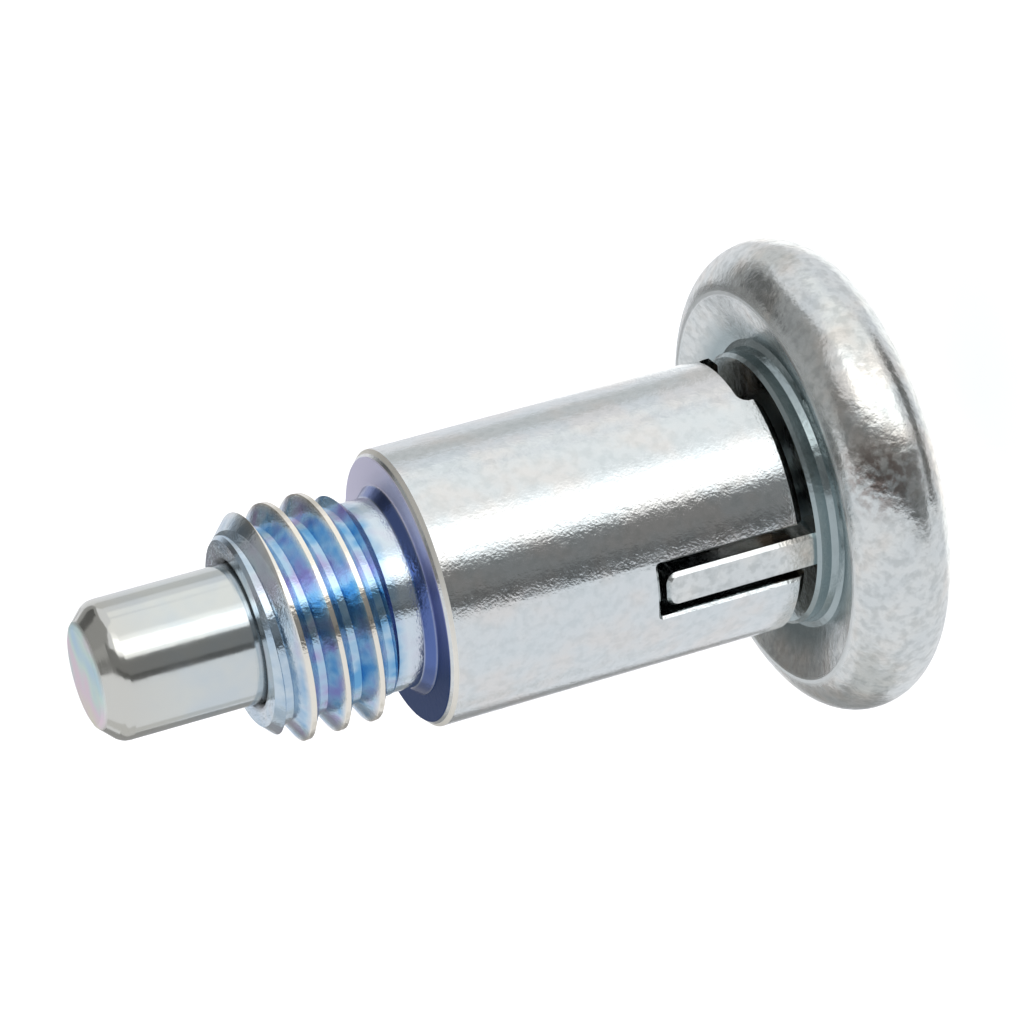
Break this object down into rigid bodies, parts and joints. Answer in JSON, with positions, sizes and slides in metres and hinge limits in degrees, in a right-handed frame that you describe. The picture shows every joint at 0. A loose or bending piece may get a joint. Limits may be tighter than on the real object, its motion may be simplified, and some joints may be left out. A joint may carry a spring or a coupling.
{
  "type": "indexing plunger",
  "caption": "Spring-loaded indexing plunger: threaded sleeve, retractable locating pin, and a mushroom knob whose keys slide in slots of the sleeve and park in its rear notches.",
  "frame": {"origin": "centre of the seat, the annular face of the sleeve that bears on the mounting plate", "axes": "+Z along the axis, towards the tip of the locating pin; X through the two deep slots; Y through the two shallow notches"},
  "size_m": [0.0208, 0.0208, 0.0352],
  "materials": {
    "zinc_plated_steel": "bright zinc plating, clear blue passivate",
    "zinc_plated_knob": "bright zinc plating over a tumbled surface, clear blue passivate",
    "ground_steel": "ground and plated",
    "spring_steel": "drawn wire",
    "plain_steel": "turned"
  },
  "bodies": {
    "housing": {"body": "zinc_plated_steel", "guide_bush": "plain_steel", "spring": "spring_steel"},
    "plunger": {"locating_pin": "ground_steel", "knob": "zinc_plated_knob"}
  },
  "joints": [
    {"name": "pull", "type": "slide", "parent": "housing", "child": "plunger", "axis": [0, 0, -1], "range_m": [0, 0.0066], "stiffness_N_per_m": 1330, "springref_m": -0.0045, "deforming": ["spring"]}
  ]
}
